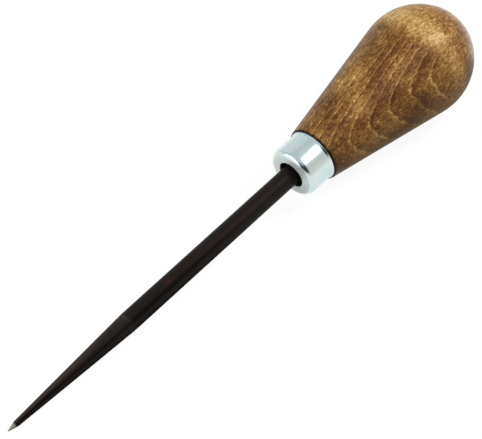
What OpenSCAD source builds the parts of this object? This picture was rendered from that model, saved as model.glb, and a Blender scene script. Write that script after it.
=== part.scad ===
/* [Blade] */
// Diameter of the round steel shank
shank_d = 6; // [5:0.1:7]
// Length of blade in view, from the point's end to the ferrule's face
blade_reach = 114.5; // [90:0.5:140]
// Length of the long taper, from the point's end to the full shank
taper_len = 46.5; // [30:0.5:60]
// Length of the short ground point
point_len = 3.2; // [2:0.1:6]
// Diameter where the ground point meets the long taper
point_d = 1.85; // [1.2:0.05:3]
// Radius at the very end of the point
nose_r = 0.15; // [0.05:0.01:0.3]
// Length of the tang inside the handle
tang_len = 38; // [25:1:45]
// Side of the square tang where it leaves the shank
tang_side = 4.2; // [3.5:0.1:4.8]
// Side of the square tang at its inner end
tang_end_side = 2.2; // [1.5:0.1:3]

/* [Ferrule] */
// Outside diameter of the ferrule
ferrule_d = 16; // [14:0.1:18]
// Length of the ferrule
ferrule_len = 9.6; // [8:0.1:14]
// Thickness of the ferrule's steel
ferrule_wall = 0.9; // [0.6:0.05:1.2]
// Outside radius of the ferrule's rounded front edge
ferrule_edge_r = 1.8; // [1.3:0.1:2.4]
// How far the ferrule's rear rim flares out
flare_h = 0.3; // [0.1:0.05:0.4]
// Length of the flared rim
flare_len = 0.9; // [0.4:0.1:1.2]

/* [Handle] */
// Length of the handle from its shoulder to the butt
handle_len = 65.2; // [58:0.1:75]
// Diameter of the handle at its widest
belly_d = 34; // [30:0.5:38]
// How much the belly's profile radius is more than half its diameter
belly_ease = 2.5; // [1.5:0.1:5]
// How much the crown's radius is less than half the belly's diameter
crown_ease = 1.2; // [0.5:0.1:3]
// How far the handle's shoulder stands out past the ferrule
shoulder_step = 0.8; // [0.5:0.05:1.5]
// Radius of the shoulder's rounded edge
shoulder_edge_r = 0.5; // [0.3:0.05:0.8]
// Bevel on the end of the tenon that the ferrule slides over
tenon_bevel = 0.5; // [0.3:0.1:0.8]
// Diameter of the pilot hole that the tang is driven into
pilot_d = 3.2; // [2.8:0.1:3.8]
// Length of pilot hole left empty past the tang
pilot_spare = 3; // [1:0.5:6]

/* [Fits] */
// Open gap around the shank in the ferrule's face
shank_gap = 1.3; // [0.8:0.05:1.6]
// Space between the inside of the ferrule's face and the tenon
tenon_gap = 1; // [0.6:0.1:1.5]
// Clearance around the tenon inside the ferrule
tenon_fit = 0.03; // [0.01:0.01:0.06]
// Clearance on each side of the tang in the wood
tang_fit = 0.02; // [0.01:0.01:0.05]

/* [Hidden] */
$fn = 96;
// Extra length of each cut, so that it passes the face it starts from
overrun = 0.5;

// Places along the tool's axis, counted from the ferrule's face towards the butt
tip_z = -blade_reach;
point_root_z = tip_z + point_len;
shank_start_z = tip_z + taper_len;
tenon_end_z = ferrule_wall + tenon_gap;
shoulder_z = ferrule_len;
flank_start_z = shoulder_z + shoulder_edge_r;
butt_z = shoulder_z + handle_len;
tang_end_z = tenon_end_z + tang_len;
pilot_end_z = tang_end_z + pilot_spare;

// Radii across the axis
shank_r = shank_d / 2;
point_r = point_d / 2;
ferrule_r = ferrule_d / 2;
ferrule_inner_r = ferrule_r - ferrule_wall;
ferrule_inner_edge_r = ferrule_edge_r - ferrule_wall;
ferrule_hole_r = shank_r + shank_gap;
tenon_r = ferrule_inner_r - tenon_fit;
shoulder_r = ferrule_r + shoulder_step;
belly_r = belly_d / 2;

// The belly is an arc whose centre lies across the axis, the crown one centred on it,
// and the two meet without a corner where the line through both centres crosses them
belly_arc_r = belly_r + belly_ease;
crown_arc_r = belly_r - crown_ease;
crown_z = butt_z - crown_arc_r;
belly_z = crown_z - sqrt(pow(belly_arc_r - crown_arc_r, 2) - pow(belly_ease, 2));
crown_turn = atan2(crown_z - belly_z, belly_ease);

// The straight flank leaves the shoulder and meets the belly's arc as its tangent
flank_rise = shoulder_r + belly_ease;
flank_run = belly_z - flank_start_z;
flank_tilt = asin(belly_arc_r / norm([flank_run, flank_rise])) - atan2(flank_rise, flank_run);
flank_end_r = belly_arc_r * cos(flank_tilt) - belly_ease;
flank_end_z = belly_z - belly_arc_r * sin(flank_tilt);

// The ground point is a cone whose end is a small ball that its side meets as a tangent
nose_z = tip_z + nose_r;
point_run = point_root_z - nose_z;
point_tilt = atan2(point_r, point_run) - asin(nose_r / norm([point_run, point_r]));
nose_end_r = nose_r * cos(point_tilt);
nose_end_z = nose_z - nose_r * sin(point_tilt);

// Turns what is drawn along +Z so that it lies along +X, from point to butt
module along_tool() {
    rotate([0, 90, 0]) children();
}

// Pin of square section that narrows evenly from one end to the other
module square_taper(start_z, end_z, start_side, end_side) {
    intersection() {
        taper_slab(start_z, end_z, start_side, end_side);
        rotate([0, 0, 90]) taper_slab(start_z, end_z, start_side, end_side);
    }
}

module taper_slab(start_z, end_z, start_side, end_side) {
    rotate([90, 0, 0])
        linear_extrude(height = start_side, center = true)
            polygon([
                [-start_side / 2, start_z],
                [start_side / 2, start_z],
                [end_side / 2, end_z],
                [-end_side / 2, end_z]
            ]);
}

// Half section of the blade's point, taper and shank, without the tang
module blade_section() {
    polygon([
        [0, nose_end_z],
        [nose_end_r, nose_end_z],
        [point_r, point_root_z],
        [shank_r, shank_start_z],
        [shank_r, tenon_end_z],
        [0, tenon_end_z]
    ]);
    intersection() {
        translate([0, nose_z]) circle(nose_r);
        translate([0, tip_z]) square([nose_r, nose_end_z - tip_z]);
    }
}

// Blade of one round bar, its shoulder seated on the tenon and its tang in the wood
module blade() {
    color([0.16, 0.13, 0.12])
        along_tool() {
            rotate_extrude() blade_section();
            square_taper(tenon_end_z, tang_end_z, tang_side, tang_end_side);
        }
}

// Half section of a filled cup with a rounded edge, an even wall and a flared mouth
module cup_section(cup_r, face_z, edge_r, mouth_z) {
    flare_z = shoulder_z - flare_len;
    polygon([
        [0, face_z],
        [cup_r - edge_r, face_z],
        [cup_r - edge_r, face_z + edge_r],
        [cup_r, face_z + edge_r],
        [cup_r, flare_z],
        [cup_r + flare_h, shoulder_z],
        [cup_r + flare_h, mouth_z],
        [0, mouth_z]
    ]);
    intersection() {
        translate([cup_r - edge_r, face_z + edge_r]) circle(edge_r);
        translate([cup_r - edge_r, face_z]) square(edge_r);
    }
}

// Drawn cup that binds the tenon, with an open hole around the shank
module ferrule() {
    color([0.80, 0.83, 0.83])
        along_tool()
            rotate_extrude()
                difference() {
                    cup_section(ferrule_r, 0, ferrule_edge_r, shoulder_z);
                    cup_section(ferrule_inner_r, ferrule_wall, ferrule_inner_edge_r, shoulder_z + overrun);
                    translate([0, -overrun])
                        square([ferrule_hole_r, ferrule_wall + 2 * overrun]);
                }
}

// Half section of the turned handle: tenon, shoulder, straight flank, belly and crown
module handle_section() {
    polygon([
        [0, tenon_end_z],
        [tenon_r - tenon_bevel, tenon_end_z],
        [tenon_r, tenon_end_z + tenon_bevel],
        [tenon_r, shoulder_z],
        [shoulder_r - shoulder_edge_r, shoulder_z],
        [shoulder_r - shoulder_edge_r, flank_start_z],
        [shoulder_r, flank_start_z],
        [flank_end_r, flank_end_z],
        [0, flank_end_z]
    ]);
    intersection() {
        translate([shoulder_r - shoulder_edge_r, flank_start_z]) circle(shoulder_edge_r);
        translate([shoulder_r - shoulder_edge_r, shoulder_z]) square(shoulder_edge_r);
    }
    // The line where the two arcs meet, drawn on past the surface
    meeting = [belly_d * cos(crown_turn), crown_z + belly_d * sin(crown_turn)];
    intersection() {
        translate([-belly_ease, belly_z]) circle(belly_arc_r);
        polygon([[0, flank_end_z], [belly_d, flank_end_z], meeting, [0, crown_z]]);
    }
    intersection() {
        translate([0, crown_z]) circle(crown_arc_r);
        polygon([[0, crown_z], meeting, [0, crown_z + belly_d]]);
    }
}

// Turned handle, drilled with a pilot hole that the driven tang has cut square
module handle() {
    color([0.47, 0.32, 0.16])
        along_tool()
            difference() {
                rotate_extrude() handle_section();
                tang_seat();
            }
}

// Room for the tang, its open end at the face of the tenon
module tang_seat() {
    square_taper(
        tenon_end_z,
        tang_end_z + tang_fit,
        tang_side + 2 * tang_fit,
        tang_end_side + 2 * tang_fit
    );
    translate([0, 0, tenon_end_z - overrun])
        cylinder(h = pilot_end_z - tenon_end_z + overrun, d = pilot_d);
}

blade();
ferrule();
handle();
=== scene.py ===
import math

import bmesh
import bpy
from mathutils import Matrix, Vector


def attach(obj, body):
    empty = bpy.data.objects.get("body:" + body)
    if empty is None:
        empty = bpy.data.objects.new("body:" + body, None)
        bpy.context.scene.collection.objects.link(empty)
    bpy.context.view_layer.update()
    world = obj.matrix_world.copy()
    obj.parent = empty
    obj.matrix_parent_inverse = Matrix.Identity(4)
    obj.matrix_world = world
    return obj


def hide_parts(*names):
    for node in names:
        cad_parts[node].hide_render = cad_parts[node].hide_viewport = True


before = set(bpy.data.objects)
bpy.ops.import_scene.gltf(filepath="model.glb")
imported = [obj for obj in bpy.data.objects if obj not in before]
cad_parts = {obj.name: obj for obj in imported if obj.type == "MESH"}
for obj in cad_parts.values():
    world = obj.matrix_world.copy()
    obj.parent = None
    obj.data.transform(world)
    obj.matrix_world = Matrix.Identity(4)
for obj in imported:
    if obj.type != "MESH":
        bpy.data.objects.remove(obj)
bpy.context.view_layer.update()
print("frame loaded:", sorted(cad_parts))

mm = 0.001          # sizes are written in millimetres, the scene is in metres
weldGap = 0.0005    # mm, corners nearer than this become one
creaseAngle = 32    # degrees, edges that turn more than this are shaded sharp


def linearColour(hexCode):
    # sRGB hex to the linear values that a shader socket takes
    channels = [int(hexCode[i:i + 2], 16) / 255 for i in (1, 3, 5)]
    return [c / 12.92 if c <= 0.04045 else ((c + 0.055) / 1.055) ** 2.4 for c in channels] + [1.0]


def addNode(tree, kind, settings=None, inputs=None):
    # One node with its settings, ramp stops, values and links. Inputs that share a name go by
    # their number: on a Mix node 2 and 3 are its values and 6 and 7 its colours, and its colour
    # comes out at 2.
    node = tree.nodes.new(kind)
    for key, value in (settings or {}).items():
        if key == "stops":
            elements = node.color_ramp.elements
            while len(elements) < len(value):
                elements.new(0.5)
            for element, (place, colour) in zip(elements, value):
                element.position = place
                element.color = linearColour(colour) if isinstance(colour, str) else [colour] * 3 + [1.0]
        else:
            setattr(node, key, value)
    for key, value in (inputs or {}).items():
        if isinstance(value, bpy.types.NodeSocket):
            tree.links.new(value, node.inputs[key])
        else:
            node.inputs[key].default_value = value
    return node


def newMaterial(name, layers, turn=0.0):
    # an empty material, the place on the piece in millimetres, turned by so many degrees round
    # the tool's axis, and its noise layers by name
    material = bpy.data.materials.new(name)
    material.use_nodes = True
    tree = material.node_tree
    tree.nodes.clear()
    place = addNode(tree, "ShaderNodeTexCoord").outputs["Object"]
    place = addNode(tree, "ShaderNodeMapping", inputs={
        "Vector": place, "Scale": (1 / mm,) * 3, "Rotation": (math.radians(turn), 0, 0)}).outputs["Vector"]
    noise = {}
    for layer, (scales, detail, roughness, shift) in layers.items():
        spot = addNode(tree, "ShaderNodeMapping", inputs={
            "Vector": place, "Scale": scales, "Location": (shift,) * 3})
        noise[layer] = addNode(tree, "ShaderNodeTexNoise", inputs={
            "Vector": spot.outputs["Vector"], "Scale": 1.0, "Detail": detail,
            "Roughness": roughness}).outputs["Fac"]
    return material, tree, place, noise


def linesTo(bm, vert, *places):
    # draws the outline on from place to place, along and out from the tool's axis in millimetres
    for x, r in places:
        vert = bmesh.ops.extrude_vert_indiv(bm, verts=[vert])["verts"][0]
        vert.co = (x * mm, 0, r * mm)
    return vert


def arcOn(bm, vert, x, r, turn, steps):
    # swings the outline on round a centre, towards the butt as seen from outside
    swung = bmesh.ops.spin(bm, geom=[vert], cent=(x * mm, 0, r * mm), axis=(0, 1, 0), angle=turn,
                           steps=steps)
    return next(g for g in swung["geom_last"] if isinstance(g, bmesh.types.BMVert))


def turnOutline(bm, steps):
    # turns the drawn outline round the tool's axis into a closed skin
    bmesh.ops.spin(bm, geom=bm.verts[:] + bm.edges[:], cent=(0, 0, 0), axis=(1, 0, 0),
                   angle=2 * math.pi, steps=steps, use_merge=True)
    bmesh.ops.remove_doubles(bm, verts=bm.verts, dist=weldGap * mm)
    bmesh.ops.recalc_face_normals(bm, faces=bm.faces)


def finishPiece(bm, name, material, node):
    mesh = bpy.data.meshes.new(name)
    bm.to_mesh(mesh)
    bm.free()
    mesh.shade_smooth()
    mesh.set_sharp_from_angle(angle=math.radians(creaseAngle))
    mesh.materials.append(material)
    piece = bpy.data.objects.new(name, mesh)
    bpy.context.scene.collection.objects.link(piece)
    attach(piece, "root")
    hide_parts(node)


# The noise layers of each piece give waves per mm along the tool and across it both ways (in
# the wood, across the years and along them), then detail, roughness and a shift that keeps
# the layers apart. Degrees round the tool's axis count from +Z, which is up, towards +Y.
ferrule = dict(
    outsideD=16.0,
    length=9.6,
    wall=0.9,
    edgeR=1.8,          # outside radius of the rounded front edge
    holeD=8.6,
    flareH=0.3,
    flareLen=0.9,
    curlR=0.9,          # hollow where the rear rim curls out
    rollR=0.3,          # round edge of the curled rim
    lipR=0.1,           # rounding of the punched hole and the cut rim
    lipAngle=50,        # degrees, corners that turn more than this are rounded so
    steps=160,          # faces round the axis, and below it those along each curve
    edgeSteps=12,
    innerEdgeSteps=8,
    curlSteps=8,
    rollSteps=5,
    lipSteps=3,
    plate=dict(
        layers=dict(
            tint=((0.12, 0.2, 0.2), 1.0, 0.5, 0.0),
            draw=((0.08, 2.5, 2.5), 1.0, 0.5, 0.0),
            grit=((2.2, 2.2, 2.2), 2.0, 0.5, 0.0),
        ),
        tints=[(0.35, "#cde0e3"), (0.55, "#d5e4e2"), (0.7, "#dde6dc")],
        roughness=0.15,
        drawRoughness=0.1,      # added by the draw lines
        relief=0.02,            # mm, of draw lines and grit, and how strongly it shows
        reliefStrength=0.3,
        faceEnd=(0.02, 0.3),    # mm behind the face's plane between which its finish ends
        faceColour="#ebf6f1",
        faceMetallic=0.3,
        faceRoughness=0.2,      # added on the face
    ),
)


def zincPlate():
    # Bright zinc on a drawn steel cup: a pale blue-green metal with a soft mirror, faint draw
    # lines along its wall, warmer and cooler tints, and a paler, more matt face round the hole
    plate = ferrule["plate"]
    material, tree, place, noise = newMaterial("bright_zinc_plate", plate["layers"])
    split = addNode(tree, "ShaderNodeSeparateXYZ", inputs={"Vector": place})
    faceStart, faceStop = plate["faceEnd"]
    face = addNode(tree, "ShaderNodeMapRange", {"interpolation_type": "SMOOTHSTEP"}, {
        "Value": split.outputs["X"], "From Min": faceStart, "From Max": faceStop,
        "To Min": 1.0, "To Max": 0.0}).outputs["Result"]
    colour = addNode(tree, "ShaderNodeValToRGB", {"stops": plate["tints"]}, {"Fac": noise["tint"]})
    colour = addNode(tree, "ShaderNodeMix", {"data_type": "RGBA"}, {
        "Factor": face, 6: colour.outputs["Color"], 7: linearColour(plate["faceColour"])})
    roughness = addNode(tree, "ShaderNodeMath", {"operation": "MULTIPLY_ADD"},
                        {0: noise["draw"], 1: plate["drawRoughness"], 2: plate["roughness"]})
    roughness = addNode(tree, "ShaderNodeMath", {"operation": "MULTIPLY_ADD"},
                        {0: face, 1: plate["faceRoughness"], 2: roughness.outputs[0]})
    metallic = addNode(tree, "ShaderNodeMapRange",
                       inputs={"Value": face, "To Min": 1.0, "To Max": plate["faceMetallic"]})
    relief = addNode(tree, "ShaderNodeMix", {"data_type": "FLOAT"},
                     {"Factor": face, 2: noise["draw"], 3: noise["grit"]})
    bump = addNode(tree, "ShaderNodeBump", inputs={
        "Height": relief.outputs["Result"], "Strength": plate["reliefStrength"],
        "Distance": plate["relief"] * mm})
    shader = addNode(tree, "ShaderNodeBsdfPrincipled", inputs={
        "Base Color": colour.outputs[2], "Metallic": metallic.outputs["Result"],
        "Roughness": roughness.outputs[0], "Normal": bump.outputs["Normal"]})
    addNode(tree, "ShaderNodeOutputMaterial", inputs={"Surface": shader.outputs["BSDF"]})
    return material


def makeFerrule():
    length, flareH, edgeR = ferrule["length"], ferrule["flareH"], ferrule["edgeR"]
    outerR, holeR = ferrule["outsideD"] / 2, ferrule["holeD"] / 2
    innerR, flareX = outerR - ferrule["wall"], length - ferrule["flareLen"]
    bend = ferrule["curlR"] + ferrule["rollR"]
    curl = math.acos(1 - flareH / bend)
    bm = bmesh.new()
    start = bm.verts.new((0, 0, holeR * mm))
    pen = linesTo(bm, start, (0, outerR - edgeR))
    pen = arcOn(bm, pen, edgeR, outerR - edgeR, math.pi / 2, ferrule["edgeSteps"])
    pen = linesTo(bm, pen, (flareX, outerR))
    pen = arcOn(bm, pen, flareX, outerR + ferrule["curlR"], -curl, ferrule["curlSteps"])
    pen = arcOn(bm, pen, flareX + bend * math.sin(curl), outerR + flareH - ferrule["rollR"], curl,
                ferrule["rollSteps"])
    pen = linesTo(bm, pen, (length, outerR + flareH), (length, innerR + flareH), (flareX, innerR),
                  (edgeR, innerR))
    pen = arcOn(bm, pen, edgeR, outerR - edgeR, -math.pi / 2, ferrule["innerEdgeSteps"])
    pen = linesTo(bm, pen, (ferrule["wall"], holeR))
    bm.edges.new((pen, start))
    turnOutline(bm, ferrule["steps"])
    sharp = [edge for edge in bm.edges if edge.calc_face_angle() > math.radians(ferrule["lipAngle"])]
    bmesh.ops.bevel(bm, geom=sharp, offset=ferrule["lipR"] * mm, offset_type="OFFSET", affect="EDGES",
                    segments=ferrule["lipSteps"], profile=0.5, material=-1)
    finishPiece(bm, "ferrule_cup", zincPlate(), "ferrule")


handle = dict(
    length=65.2,
    bellyD=34.0,
    bellyEase=2.5,      # by which the belly's profile radius is more than half its diameter
    crownEase=1.2,      # by which the crown's radius is less than that half
    shoulderD=17.6,
    shoulderEdgeR=0.5,
    tenonD=14.14,
    tenonBevel=0.5,
    tenonEndX=1.9,
    steps=192,          # faces round the axis, and below it those along each part
    edgeSteps=6,
    flankCuts=40,
    bellySteps=16,
    crownSteps=16,
    wood=dict(
        flatSawnTurn=-59,   # degrees round the axis where the flat-sawn face lies
        yearGap=1.42,       # mm between year lines towards that face
        wideGap=1.9,        # mm between them deeper in
        firstYear=9.95,     # mm from the axis to the year line where the gap changes
        curve=0.85,         # how far the years curl round the tool below that face
        sideSteep=1.6,      # the side a quarter turn on has its own, closer year lines
        sideStart=17.5,
        sideBlend=4.0,      # mm over which one set runs into the other
        layers=dict(
            drift=((0.03, 0.07, 0.07), 1.0, 0.4, 3.0),
            jag=((0.4, 0.7, 0.7), 3.0, 0.6, 7.0),
            clouds=((0.09, 0.15, 0.12), 3.0, 0.5, 11.0),
            mottle=((0.5, 0.9, 0.8), 2.0, 0.6, 5.0),
            specks=((0.9, 1.9, 1.9), 2.0, 0.7, 1.0),
            streaks=((0.1, 2.4, 0.35), 2.0, 0.6, 9.0),
        ),
        frayed=dict(drift=1.6, jag=0.55),       # mm by which these layers shift the year lines
        # stain through one year, from a pale line to the next
        season=[(0.0, 0.0), (0.07, 0.05), (0.12, 0.85), (0.45, 0.6), (0.95, 0.45), (1.0, 0.0)],
        # where the stain changes, and where painted shade is added: measured along X, along the year
        # lines (Z) or from where the two sets of years meet, from one place to another in mm, with the
        # values there
        fades=dict(
            crown=("X", 49.5, 56.5, 0.0, 1.0),          # the years give way to fine streaks
            paler=("Z", -4.0, 8.0, -0.34, -0.09),       # what the crown's stain lacks, less of it low on the crown, which is painted shade
            past=("meeting", -2.5, 0.5, 0.0, 0.65),     # streaks again, past that place
            shoulder=("X", 9.6, 10.4, 0.65, 0.0),       # end grain that takes more stain, made nearly black by painted shade in the gap behind the ferrule and on the tenon inside it
            endGrain=("X", 58.0, 62.0, 0.0, 0.24),      # darker towards the butt
            below=("Z", 0.0, 14.0, 0.0, 0.08),          # painted shade, darker low on the handle
        ),
        yearStain=0.45,     # how much the years darken the wood, and how much each layer does
        stain=dict(clouds=0.9, mottle=0.6, specks=1.3),
        evenStain=0.31,
        fullStain=0.87,     # it takes no more than this, apart from the shoulder's end grain and its painted shade
        fullBlend=0.2,
        tones=[(0.0, "#e2bd80"), (0.25, "#b68d4e"), (0.5, "#8a612f"), (0.75, "#633f1e"),
               (0.95, "#3c2511"), (1.0, "#0e0906")],
        relief=0.04,        # mm, of the specks under the lacquer, and how strongly it shows
        reliefStrength=0.25,
        lacquerRoughness=0.4,
        lacquerShine=0.18,
        lacquerTint="#fff0dc",      # slightly warm where it mirrors the room
    ),
)

# Belly and crown arcs, and the flank that meets the belly as its tangent
buttX = ferrule["length"] + handle["length"]
bellyArcR = handle["bellyD"] / 2 + handle["bellyEase"]
crownArcR = handle["bellyD"] / 2 - handle["crownEase"]
crownX = buttX - crownArcR
bellyX = crownX - math.sqrt((bellyArcR - crownArcR) ** 2 - handle["bellyEase"] ** 2)
crownTurn = math.atan2(crownX - bellyX, handle["bellyEase"])
flankStartX = ferrule["length"] + handle["shoulderEdgeR"]
flankRise = handle["shoulderD"] / 2 + handle["bellyEase"]
flankRun = bellyX - flankStartX
flankTilt = math.asin(bellyArcR / math.hypot(flankRun, flankRise)) - math.atan2(flankRise, flankRun)


def stainedBeech():
    # Flat-sawn beech, stained brown in the turned state and dipped in satin lacquer. The stain
    # soaks in unevenly, which the eye sees as thin pale year lines with dark wood behind them,
    # cloudy patches, fine specks, a golden crown and a nearly black ring of end grain. Painted
    # shade darkens that ring and the handle's lower side, and keeps the crown's lower side darker.
    wood = handle["wood"]
    # turned so that Y runs across the years and Z along them
    material, tree, grain, noise = newMaterial(
        "stained_lacquered_beech", wood["layers"], wood["flatSawnTurn"] - 90)
    split = addNode(tree, "ShaderNodeSeparateXYZ", inputs={"Vector": grain}).outputs

    # year field: flat years that curl on one side and bulge on the other, drifting and frayed
    curled = addNode(tree, "ShaderNodeMath", {"operation": "MULTIPLY"}, {0: split["Z"], 1: wood["curve"]})
    curled = addNode(tree, "ShaderNodeMath", {"operation": "MAXIMUM"}, {0: curled.outputs[0], 1: 0.0})
    across = addNode(tree, "ShaderNodeCombineXYZ", inputs={"X": split["Y"], "Y": curled.outputs[0]})
    flat = addNode(tree, "ShaderNodeVectorMath", {"operation": "LENGTH"}, {0: across.outputs["Vector"]})
    side = addNode(tree, "ShaderNodeMath", {"operation": "MULTIPLY_ADD"},
                   {0: split["Z"], 1: -wood["sideSteep"], 2: -wood["sideStart"]})
    field = addNode(tree, "ShaderNodeMath", {"operation": "SMOOTH_MAX"},
                    {0: flat.outputs["Value"], 1: side.outputs[0], 2: wood["sideBlend"]})
    for layer, reach in wood["frayed"].items():
        field = addNode(tree, "ShaderNodeMath", {"operation": "MULTIPLY_ADD"},
                        {0: noise[layer], 1: reach, 2: field.outputs[0]})
    inner = addNode(tree, "ShaderNodeMath", {"operation": "ADD"},
                    {0: field.outputs[0], 1: -wood["firstYear"] - sum(wood["frayed"].values()) / 2})
    outer = addNode(tree, "ShaderNodeMath", {"operation": "MAXIMUM"}, {0: inner.outputs[0], 1: 0.0})
    outerYears = addNode(tree, "ShaderNodeMath", {"operation": "MULTIPLY"},
                         {0: outer.outputs[0], 1: 1 / wood["yearGap"] - 1 / wood["wideGap"]})
    years = addNode(tree, "ShaderNodeMath", {"operation": "MULTIPLY_ADD"},
                    {0: inner.outputs[0], 1: 1 / wood["wideGap"], 2: outerYears.outputs[0]})
    season = addNode(tree, "ShaderNodeMath", {"operation": "FRACT"}, {0: years.outputs[0]})
    yearDepth = addNode(tree, "ShaderNodeValToRGB", {"stops": wood["season"]}, {"Fac": season.outputs[0]})

    meeting = addNode(tree, "ShaderNodeMath", {"operation": "SUBTRACT"},
                      {0: side.outputs[0], 1: flat.outputs["Value"]})
    ways = {"X": split["X"], "Z": split["Z"], "meeting": meeting.outputs[0]}
    fade = {}
    for name, (way, start, stop, low, high) in wood["fades"].items():
        fade[name] = addNode(tree, "ShaderNodeMapRange", {"interpolation_type": "SMOOTHSTEP"}, {
            "Value": ways[way], "From Min": start, "From Max": stop,
            "To Min": low, "To Max": high}).outputs["Result"]

    # on the crown and past the meeting of the two sets, the years fade into fine streaks
    faded = addNode(tree, "ShaderNodeMath", {"operation": "MAXIMUM"}, {0: fade["crown"], 1: fade["past"]})
    streaked = addNode(tree, "ShaderNodeMix", {"data_type": "FLOAT"},
                       {"Factor": faded.outputs[0], 2: yearDepth.outputs["Color"], 3: noise["streaks"]})
    # darker stain towards the butt, and painted shade low on the handle
    depth = addNode(tree, "ShaderNodeMath", {"operation": "ADD"}, {0: fade["endGrain"], 1: fade["below"]})
    # the crown's paler stain, thinned low on the crown as painted shade
    depth = addNode(tree, "ShaderNodeMath", {"operation": "MULTIPLY_ADD"},
                    {0: fade["crown"], 1: fade["paler"], 2: depth.outputs[0]})
    depth = addNode(tree, "ShaderNodeMath", {"operation": "MULTIPLY_ADD"},
                    {0: streaked.outputs["Result"], 1: wood["yearStain"], 2: depth.outputs[0]})
    for layer, weight in wood["stain"].items():
        depth = addNode(tree, "ShaderNodeMath", {"operation": "MULTIPLY_ADD"},
                        {0: noise[layer], 1: weight, 2: depth.outputs[0]})
    depth = addNode(tree, "ShaderNodeMath", {"operation": "ADD"},
                    {0: depth.outputs[0], 1: wood["evenStain"] - sum(wood["stain"].values()) / 2})
    depth = addNode(tree, "ShaderNodeMath", {"operation": "SMOOTH_MIN"},
                    {0: depth.outputs[0], 1: wood["fullStain"], 2: wood["fullBlend"]})
    # painted shade at the shoulder and on the tenon behind the ferrule
    depth = addNode(tree, "ShaderNodeMath", {"operation": "ADD"},
                    {0: depth.outputs[0], 1: fade["shoulder"]})
    tone = addNode(tree, "ShaderNodeValToRGB", {"stops": wood["tones"]}, {"Fac": depth.outputs[0]})
    bump = addNode(tree, "ShaderNodeBump", inputs={
        "Height": noise["specks"], "Strength": wood["reliefStrength"], "Distance": wood["relief"] * mm})
    shader = addNode(tree, "ShaderNodeBsdfPrincipled", inputs={
        "Base Color": tone.outputs["Color"], "Roughness": wood["lacquerRoughness"], "IOR": 1.5,
        "Specular IOR Level": wood["lacquerShine"], "Specular Tint": linearColour(wood["lacquerTint"]),
        "Normal": bump.outputs["Normal"]})
    addNode(tree, "ShaderNodeOutputMaterial", inputs={"Surface": shader.outputs["BSDF"]})
    return material


def makeHandle():
    endX, seatX, edgeR = handle["tenonEndX"], ferrule["length"], handle["shoulderEdgeR"]
    shoulderR, tenonR, bevel = handle["shoulderD"] / 2, handle["tenonD"] / 2, handle["tenonBevel"]
    bm = bmesh.new()
    pen = bm.verts.new((endX * mm, 0, 0))
    pen = linesTo(bm, pen, (endX, tenonR - bevel), (endX + bevel, tenonR), (seatX, tenonR),
                  (seatX, shoulderR - edgeR))
    pen = arcOn(bm, pen, flankStartX, shoulderR - edgeR, math.pi / 2, handle["edgeSteps"])
    pen = linesTo(bm, pen, (bellyX - bellyArcR * math.sin(flankTilt),
                            bellyArcR * math.cos(flankTilt) - handle["bellyEase"]))
    flank = pen.link_edges[0]
    pen = arcOn(bm, pen, bellyX, -handle["bellyEase"], flankTilt + crownTurn, handle["bellySteps"])
    arcOn(bm, pen, crownX, 0, math.pi / 2 - crownTurn, handle["crownSteps"])
    bmesh.ops.subdivide_edges(bm, edges=[flank], cuts=handle["flankCuts"])
    turnOutline(bm, handle["steps"])
    finishPiece(bm, "beech_handle", stainedBeech(), "handle")


blade = dict(
    reach=114.5,        # from the point's end to the ferrule's face
    taperLen=46.5,
    pointLen=3.2,
    pointD=1.85,
    noseR=0.15,
    shankD=6.0,
    shoulderX=1.9,      # where the shank seats on the tenon
    markDepth=0.05,     # turned line where the taper ends
    markWidth=0.5,
    tangLen=38.0,
    tangSide=4.2,
    tangEndSide=2.2,
    steps=96,           # faces round the axis
    noseSteps=6,
    steel=dict(
        layers=dict(
            rust=((0.06, 0.3, 0.3), 2.0, 0.5, 0.0),
            draw=((0.02, 0.9, 0.9), 2.0, 0.5, 0.0),
            grit=((1.2, 1.8, 1.8), 2.0, 0.5, 0.0),
        ),
        tints=[(0.3, "#201a15"), (0.5, "#251b16"), (0.68, "#2a1b15"), (0.85, "#362018")],
        paintedLineTurn=-39,       # degrees round the axis where a painted dark line runs along the bar, a painted reflection of the dark room
        paintedLineWidth=30,       # and degrees to either side of it
        # where the finish and the painted light change: measured in mm along X or from the point's end,
        # or round the bar from -1 below the painted dark line to 1 above it, from one place to another,
        # with the values there
        fades=dict(
            paintedDarkLine=("X", -45.0, -8.0, 0.15, 0.95),        # what the painted dark reflection line leaves of the colour
            worn=("X", -96.0, -66.0, 1.0, 0.0),         # the taper has lost some of its black
            bare=("point", 2.1, 2.8, 1.0, 0.0),         # ground bright
            lower=("round", -0.45, 0.0, 1.0, 0.0),      # the side below the painted dark line, greyer as painted sheen from the table
            upper=("round", 0.25, 0.75, 0.0, 1.0),      # the side that wear and rubbing show on
            back=("round", 0.35, 0.85, 0.0, 1.0),       # the darker side
        ),
        # lower: a painted sheen from the table; back: a darker tint
        sideTints=dict(lower="#26231f", back="#201d1a"),
        # rubbed paler where the taper ends: between which places along X, and how much on the way
        rubbedX=(-74.8, -66.8),
        rubbed=[(0.0, 0.0), (0.66, 0.3), (0.74, 0.7), (0.79, 0.6), (0.85, 0.0)],
        rubbedBelow=0.3,    # share of it on the lower side
        wornColour="#3e3732",
        # brown with rust: place along X, degrees round the axis, mm out from it, half length
        # and half width
        rust=[(-51.8, -18, 3.0, 2.7, 1.5), (-91.0, -29, 2.0, 13.0, 0.7)],
        rustColour="#4a231b",
        rustShare=0.5,
        rustCore=0.1,       # share of its size up to which it is full
        bareColour="#a3a694",
        roughness=0.36,
        drawRoughness=0.2,      # added by the draw lines
        shine=0.06,             # dull with oil, so it mirrors less than clean steel
        relief=0.02,            # mm, of the grit, and how strongly it shows
        reliefStrength=0.25,
    ),
)


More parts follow.
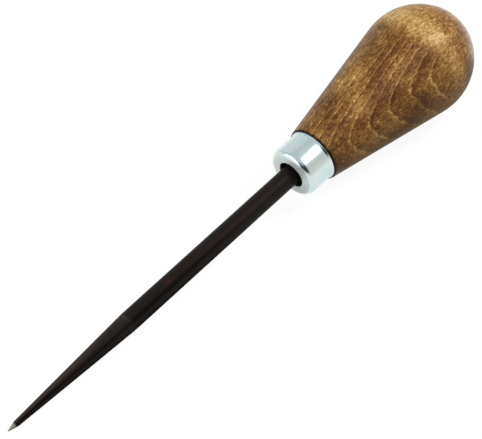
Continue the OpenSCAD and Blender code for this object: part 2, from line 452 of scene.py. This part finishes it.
def blackenedSteel():
    # Round tool steel blackened in hot oil: nearly black and satin, a little rusty brown in
    # places, with lengthwise draw lines, and a point ground bare afterwards. A painted dark
    # reflection line runs along the bar, and the side below it is painted greyer as sheen
    steel = blade["steel"]
    material, tree, place, noise = newMaterial("oil_blackened_tool_steel", steel["layers"])
    split = addNode(tree, "ShaderNodeSeparateXYZ", inputs={"Vector": place}).outputs
    fromPoint = addNode(tree, "ShaderNodeMath", {"operation": "ADD"}, {0: split["X"], 1: blade["reach"]})
    paintedLineTurn = math.radians(steel["paintedLineTurn"])
    outward = addNode(tree, "ShaderNodeCombineXYZ", inputs={"Y": split["Y"], "Z": split["Z"]})
    outward = addNode(tree, "ShaderNodeVectorMath", {"operation": "NORMALIZE"},
                      {0: outward.outputs["Vector"]})
    offPaintedLine = addNode(tree, "ShaderNodeVectorMath", {"operation": "DOT_PRODUCT"},
                      {0: outward.outputs["Vector"], 1: (0, math.cos(paintedLineTurn), -math.sin(paintedLineTurn))})
    ways = {"X": split["X"], "point": fromPoint.outputs[0], "round": offPaintedLine.outputs["Value"]}
    fade = {}
    for name, (way, start, stop, low, high) in steel["fades"].items():
        fade[name] = addNode(tree, "ShaderNodeMapRange", {"interpolation_type": "SMOOTHSTEP"}, {
            "Value": ways[way], "From Min": start, "From Max": stop,
            "To Min": low, "To Max": high}).outputs["Result"]
    aside = addNode(tree, "ShaderNodeMath", {"operation": "ABSOLUTE"}, {0: offPaintedLine.outputs["Value"]})
    # a painted dark reflection line along the bar, strongest at its middle
    paintedDarkLine = addNode(tree, "ShaderNodeMapRange", {"interpolation_type": "SMOOTHSTEP"}, {
        "Value": aside.outputs[0], "From Min": 0.0, "From Max": math.sin(math.radians(steel["paintedLineWidth"])),
        "To Min": fade["paintedDarkLine"], "To Max": 1.0})

    tint = addNode(tree, "ShaderNodeValToRGB", {"stops": steel["tints"]},
                   {"Fac": noise["rust"]}).outputs["Color"]
    # side tints, the lower one a painted sheen
    for name, sideTint in steel["sideTints"].items():
        tint = addNode(tree, "ShaderNodeMix", {"data_type": "RGBA"},
                       {"Factor": fade[name], 6: tint, 7: linearColour(sideTint)}).outputs[2]
    rubbedStart, rubbedStop = steel["rubbedX"]
    rubbed = addNode(tree, "ShaderNodeMapRange", inputs={
        "Value": split["X"], "From Min": rubbedStart, "From Max": rubbedStop})
    rubbed = addNode(tree, "ShaderNodeValToRGB", {"stops": steel["rubbed"]},
                     {"Fac": rubbed.outputs["Result"]}).outputs["Color"]
    paler = addNode(tree, "ShaderNodeMath", {"operation": "ADD", "use_clamp": True},
                    {0: fade["worn"], 1: rubbed})
    rubbedBelow = addNode(tree, "ShaderNodeMath", {"operation": "MULTIPLY"},
                          {0: rubbed, 1: steel["rubbedBelow"]})
    paler = addNode(tree, "ShaderNodeMath", {"operation": "MULTIPLY_ADD", "use_clamp": True},
                    {0: fade["upper"], 1: paler.outputs[0], 2: rubbedBelow.outputs[0]})
    tint = addNode(tree, "ShaderNodeMix", {"data_type": "RGBA"}, {
        "Factor": paler.outputs[0], 6: tint, 7: linearColour(steel["wornColour"])}).outputs[2]
    for x, turn, r, length, width in steel["rust"]:
        y, z = r * math.sin(math.radians(turn)), r * math.cos(math.radians(turn))
        near = addNode(tree, "ShaderNodeMapping", inputs={
            "Vector": place, "Scale": (1 / length, 1 / width, 1 / width),
            "Location": (-x / length, -y / width, -z / width)})
        away = addNode(tree, "ShaderNodeVectorMath", {"operation": "LENGTH"}, {0: near.outputs["Vector"]})
        brown = addNode(tree, "ShaderNodeMapRange", {"interpolation_type": "SMOOTHSTEP"}, {
            "Value": away.outputs["Value"], "From Min": steel["rustCore"], "From Max": 1.0,
            "To Min": steel["rustShare"], "To Max": 0.0})
        tint = addNode(tree, "ShaderNodeMix", {"data_type": "RGBA"}, {
            "Factor": brown.outputs["Result"], 6: tint, 7: linearColour(steel["rustColour"])}).outputs[2]
    # the painted dark reflection line darkens the colour
    tint = addNode(tree, "ShaderNodeMix", {"data_type": "RGBA", "blend_type": "MULTIPLY"},
                   {"Factor": 1.0, 6: tint, 7: paintedDarkLine.outputs["Result"]}).outputs[2]
    colour = addNode(tree, "ShaderNodeMix", {"data_type": "RGBA"},
                     {"Factor": fade["bare"], 6: tint, 7: linearColour(steel["bareColour"])})
    bump = addNode(tree, "ShaderNodeBump", inputs={
        "Height": noise["grit"], "Strength": steel["reliefStrength"], "Distance": steel["relief"] * mm})
    roughness = addNode(tree, "ShaderNodeMath", {"operation": "MULTIPLY_ADD"},
                        {0: noise["draw"], 1: steel["drawRoughness"], 2: steel["roughness"]})
    shader = addNode(tree, "ShaderNodeBsdfPrincipled", inputs={
        "Base Color": colour.outputs[2], "Metallic": fade["bare"], "Roughness": roughness.outputs[0],
        "Specular IOR Level": steel["shine"], "Normal": bump.outputs["Normal"]})
    addNode(tree, "ShaderNodeOutputMaterial", inputs={"Surface": shader.outputs["BSDF"]})
    return material


# Middle of the small ball at the point's end
noseX = -blade["reach"] + blade["noseR"]


def makeBlade():
    tipX, shoulderX, markWidth = -blade["reach"], blade["shoulderX"], blade["markWidth"]
    rootX, rootR, shankR = tipX + blade["pointLen"], blade["pointD"] / 2, blade["shankD"] / 2
    run = rootX - noseX
    pointTilt = math.atan2(rootR, run) - math.asin(blade["noseR"] / math.hypot(run, rootR))
    taperX = tipX + blade["taperLen"]
    bm = bmesh.new()
    pen = bm.verts.new((tipX * mm, 0, 0))
    pen = arcOn(bm, pen, noseX, 0, math.pi / 2 - pointTilt, blade["noseSteps"])
    linesTo(bm, pen, (rootX, rootR), (taperX, shankR),
            (taperX + markWidth / 2, shankR - blade["markDepth"]), (taperX + markWidth, shankR),
            (shoulderX, shankR), (shoulderX, 0))
    turnOutline(bm, blade["steps"])
    # the square tang is a cube drawn out to its length and its two ends' sides
    for vert in bmesh.ops.create_cube(bm, size=1)["verts"]:
        far = vert.co.x > 0
        x = shoulderX + (blade["tangLen"] if far else 0)
        side = blade["tangEndSide"] if far else blade["tangSide"]
        vert.co = (x * mm, vert.co.y * side * mm, vert.co.z * side * mm)
    finishPiece(bm, "blackened_blade", blackenedSteel(), "blade")


makeHandle()
print("handle turned")
makeFerrule()
print("ferrule drawn")
makeBlade()
print("blade ground")

# The table touches the ball at the point's end and the belly's arc
restRun = bellyX - noseX
restRise = handle["bellyEase"]
restTilt = (math.asin((bellyArcR - blade["noseR"]) / math.hypot(restRun, restRise))
            - math.atan2(restRise, restRun))
tableTurn = Matrix.Rotation(restTilt, 4, "Y")
tableDrop = noseX * math.sin(restTilt) - blade["noseR"]


def viewSide(azimuth, elevation):
    # unit vector towards a direction over the table: azimuth 0 is in front, on the -Y side
    turn, rise = math.radians(azimuth), math.radians(elevation)
    return Vector((math.sin(turn) * math.cos(rise), -math.cos(turn) * math.cos(rise), math.sin(rise)))


def aimed(obj, azimuth, elevation, distance, target):
    # puts a lamp or camera out in that direction, looking back at the target
    place = Matrix.Translation((Vector(target) + viewSide(azimuth, elevation) * distance) * mm)
    swing = Matrix.Rotation(math.radians(azimuth), 4, "Z")
    lean = Matrix.Rotation(math.radians(90 - elevation), 4, "X")
    obj.matrix_world = tableTurn @ place @ swing @ lean
    bpy.context.scene.collection.objects.link(obj)


# Camera, fitted to the photograph's outline: angles and target are in the table's frame
camera = dict(azimuth=-47.53, elevation=47.59, distance=659.3, target=(-21.24, 0.11, -2.05), lens=172.68,
              sensorWidth=36)
cameraData = bpy.data.cameras.new("camera")
cameraData.sensor_width = camera["sensorWidth"]
cameraData.lens = camera["lens"]
cameraObject = bpy.data.objects.new("camera", cameraData)
aimed(cameraObject, camera["azimuth"], camera["elevation"], camera["distance"], camera["target"])
bpy.context.scene.camera = cameraObject
print("camera set")

studio = dict(
    tableSize=3000,
    tableColour="#5a5a5a",   # dim in itself, so that little light comes up from below
    tableGlow=0.93,     # added for the camera, so that the table reads white
    tableMirrored=0.9,  # added for reflections
    # patches of the table as the tool mirrors them: a painted shadow below the blade, a painted
    # warm bounce from the wood below the handle, and a painted pool of light past the butt, which
    # gives the crown its painted pale rim
    patches=[dict(centre=(-101, -4), reach=(91, 18), colour="#545454", level=1.0),
             dict(centre=(50, -8), reach=(38, 22), colour="#d6c8ac", level=1.0),
             dict(centre=(128, 14), reach=(54, 44), colour="#f0f7ff", level=3.1)],
    patchCore=0.8,      # share of its reach up to which a patch is full
    skyLow=0.22,        # soft light from the walls
    skyHigh=0.5,        # and from overhead
    walls=[(0.0, 0.82), (0.3, 0.73), (0.5, 0.68), (0.8, 0.66), (1.0, 0.72)],   # mirrored, by height
    # parts of the room as they are mirrored: azimuth, elevation, reach and level. Both sides of
    # the camera are dark, the wall behind the tool is brighter, the one in front a little dimmer
    sides=[(-66, 15, 28, 0.05), (-27, 30, 25, 0.05), (165, 32, 28, 1.22), (5, 40, 18, 0.8)],
    sideCore=0.7,       # share of its reach up to which a part is full
    lampTarget=(20, 0, 0),
    lamps=[
        dict(name="key_softbox", azimuth=54, elevation=54, distance=700, size=285, brightness=16.0),
        dict(name="left_softbox", azimuth=-112, elevation=10, distance=700, size=700, brightness=1.8),
        # in line with the blade, to lift the ferrule's face, and not mirrored itself
        dict(name="point_softbox", azimuth=-91, elevation=0, distance=700, size=250, brightness=6.0,
             mirrored=False),
    ],
)


def paleTable():
    # White to the camera and in reflections, with the tool's shadow and patches of painted shadow and
    # light in what the tool mirrors; clear from below
    material, tree, place = newMaterial("pale_table", {})[:3]
    path = addNode(tree, "ShaderNodeLightPath")
    seen = addNode(tree, "ShaderNodeMath", {"operation": "MULTIPLY"},
                   {0: path.outputs["Is Camera Ray"], 1: studio["tableGlow"]})
    mirrored = addNode(tree, "ShaderNodeMath", {"operation": "MULTIPLY"},
                       {0: path.outputs["Is Glossy Ray"], 1: studio["tableMirrored"]}).outputs[0]
    # painted shadow and light in the table's reflections
    for patch in studio["patches"]:
        (x, y), (reachX, reachY) = patch["centre"], patch["reach"]
        spot = addNode(tree, "ShaderNodeMapping", inputs={
            "Vector": place, "Scale": (1 / reachX, 1 / reachY, 0),
            "Location": (-x / reachX, -y / reachY, 0)})
        away = addNode(tree, "ShaderNodeVectorMath", {"operation": "LENGTH"}, {0: spot.outputs["Vector"]})
        covered = addNode(tree, "ShaderNodeMapRange", {"interpolation_type": "SMOOTHSTEP"}, {
            "Value": away.outputs["Value"], "From Min": studio["patchCore"], "From Max": 1.0,
            "To Min": 1.0, "To Max": 0.0})
        mirrored = addNode(tree, "ShaderNodeMix", {"data_type": "RGBA", "blend_type": "MULTIPLY"}, {
            "Factor": covered.outputs["Result"], 6: mirrored,
            7: [c * patch["level"] for c in linearColour(patch["colour"])]}).outputs[2]
    shown = addNode(tree, "ShaderNodeMix", {"data_type": "RGBA", "blend_type": "ADD"},
                    {"Factor": 1.0, 6: mirrored, 7: seen.outputs["Value"]})
    matte = addNode(tree, "ShaderNodeBsdfDiffuse", inputs={"Color": linearColour(studio["tableColour"])})
    glow = addNode(tree, "ShaderNodeEmission", inputs={"Color": shown.outputs[2]})
    both = addNode(tree, "ShaderNodeAddShader",
                   inputs={0: matte.outputs["BSDF"], 1: glow.outputs["Emission"]})
    side = addNode(tree, "ShaderNodeNewGeometry")
    clear = addNode(tree, "ShaderNodeBsdfTransparent")
    oneSided = addNode(tree, "ShaderNodeMixShader", inputs={
        "Fac": side.outputs["Backfacing"], 1: both.outputs["Shader"], 2: clear.outputs["BSDF"]})
    addNode(tree, "ShaderNodeOutputMaterial", inputs={"Surface": oneSided.outputs["Shader"]})
    return material


def layTable():
    bm = bmesh.new()
    bmesh.ops.create_grid(bm, x_segments=1, y_segments=1, size=studio["tableSize"] / 2 * mm)
    place = tableTurn @ Matrix.Translation((0, 0, tableDrop * mm))
    bmesh.ops.transform(bm, matrix=place, verts=bm.verts)
    mesh = bpy.data.meshes.new("table")
    bm.to_mesh(mesh)
    bm.free()
    mesh.materials.append(paleTable())
    table = bpy.data.objects.new("table", mesh)
    bpy.context.scene.collection.objects.link(table)


def whiteStudio():
    # White behind the tool, soft light that is stronger overhead, pale walls in reflections,
    # and dark shapes on the camera's side
    world = bpy.data.worlds.new("white_studio")
    world.use_nodes = True
    tree = world.node_tree
    tree.nodes.clear()
    path = addNode(tree, "ShaderNodeLightPath")
    place = addNode(tree, "ShaderNodeTexCoord")
    turn = tableTurn.to_3x3()
    height = addNode(tree, "ShaderNodeVectorMath", {"operation": "DOT_PRODUCT"},
                     {0: place.outputs["Generated"], 1: turn @ Vector((0, 0, 1))})
    sky = addNode(tree, "ShaderNodeMapRange", inputs={
        "Value": height.outputs["Value"], "To Min": studio["skyLow"], "To Max": studio["skyHigh"]})
    walls = addNode(tree, "ShaderNodeValToRGB", {"stops": studio["walls"]},
                    {"Fac": height.outputs["Value"]})
    room = addNode(tree, "ShaderNodeMix", {"data_type": "FLOAT"}, {
        "Factor": path.outputs["Is Glossy Ray"], 2: sky.outputs["Result"], 3: walls.outputs["Color"]})
    for azimuth, elevation, reach, level in studio["sides"]:
        near = addNode(tree, "ShaderNodeVectorMath", {"operation": "DOT_PRODUCT"},
                       {0: place.outputs["Generated"], 1: turn @ viewSide(azimuth, elevation)})
        part = addNode(tree, "ShaderNodeMapRange", {"interpolation_type": "SMOOTHSTEP"}, {
            "Value": near.outputs["Value"], "From Min": math.cos(math.radians(reach)),
            "From Max": math.cos(math.radians(reach * studio["sideCore"])),
            "To Min": 1.0, "To Max": level})
        room = addNode(tree, "ShaderNodeMath", {"operation": "MULTIPLY"},
                       {0: room.outputs[0], 1: part.outputs["Result"]})
    plain = addNode(tree, "ShaderNodeMath", {"operation": "MAXIMUM"},
                    {0: path.outputs["Is Camera Ray"], 1: path.outputs["Is Transmission Ray"]})
    strength = addNode(tree, "ShaderNodeMath", {"operation": "MAXIMUM"},
                       {0: plain.outputs["Value"], 1: room.outputs[0]})
    background = addNode(tree, "ShaderNodeBackground",
                         inputs={"Color": (1.0, 1.0, 1.0, 1.0), "Strength": strength.outputs["Value"]})
    addNode(tree, "ShaderNodeOutputWorld", inputs={"Surface": background.outputs["Background"]})
    return world


def hangLamps():
    for box in studio["lamps"]:
        lampData = bpy.data.lights.new(box["name"], "AREA")
        lampData.shape = "DISK"
        lampData.size = box["size"] * mm
        # watts that make the disk as bright as that, whatever its size
        area = math.pi * (box["size"] * mm / 2) ** 2
        lampData.energy = box["brightness"] * math.pi * area
        lamp = bpy.data.objects.new(box["name"], lampData)
        lamp.visible_glossy = box.get("mirrored", True)
        aimed(lamp, box["azimuth"], box["elevation"], box["distance"], studio["lampTarget"])


layTable()
bpy.context.scene.world = whiteStudio()
hangLamps()
print("studio lit")

bpy.context.scene.view_settings.view_transform = "Standard"
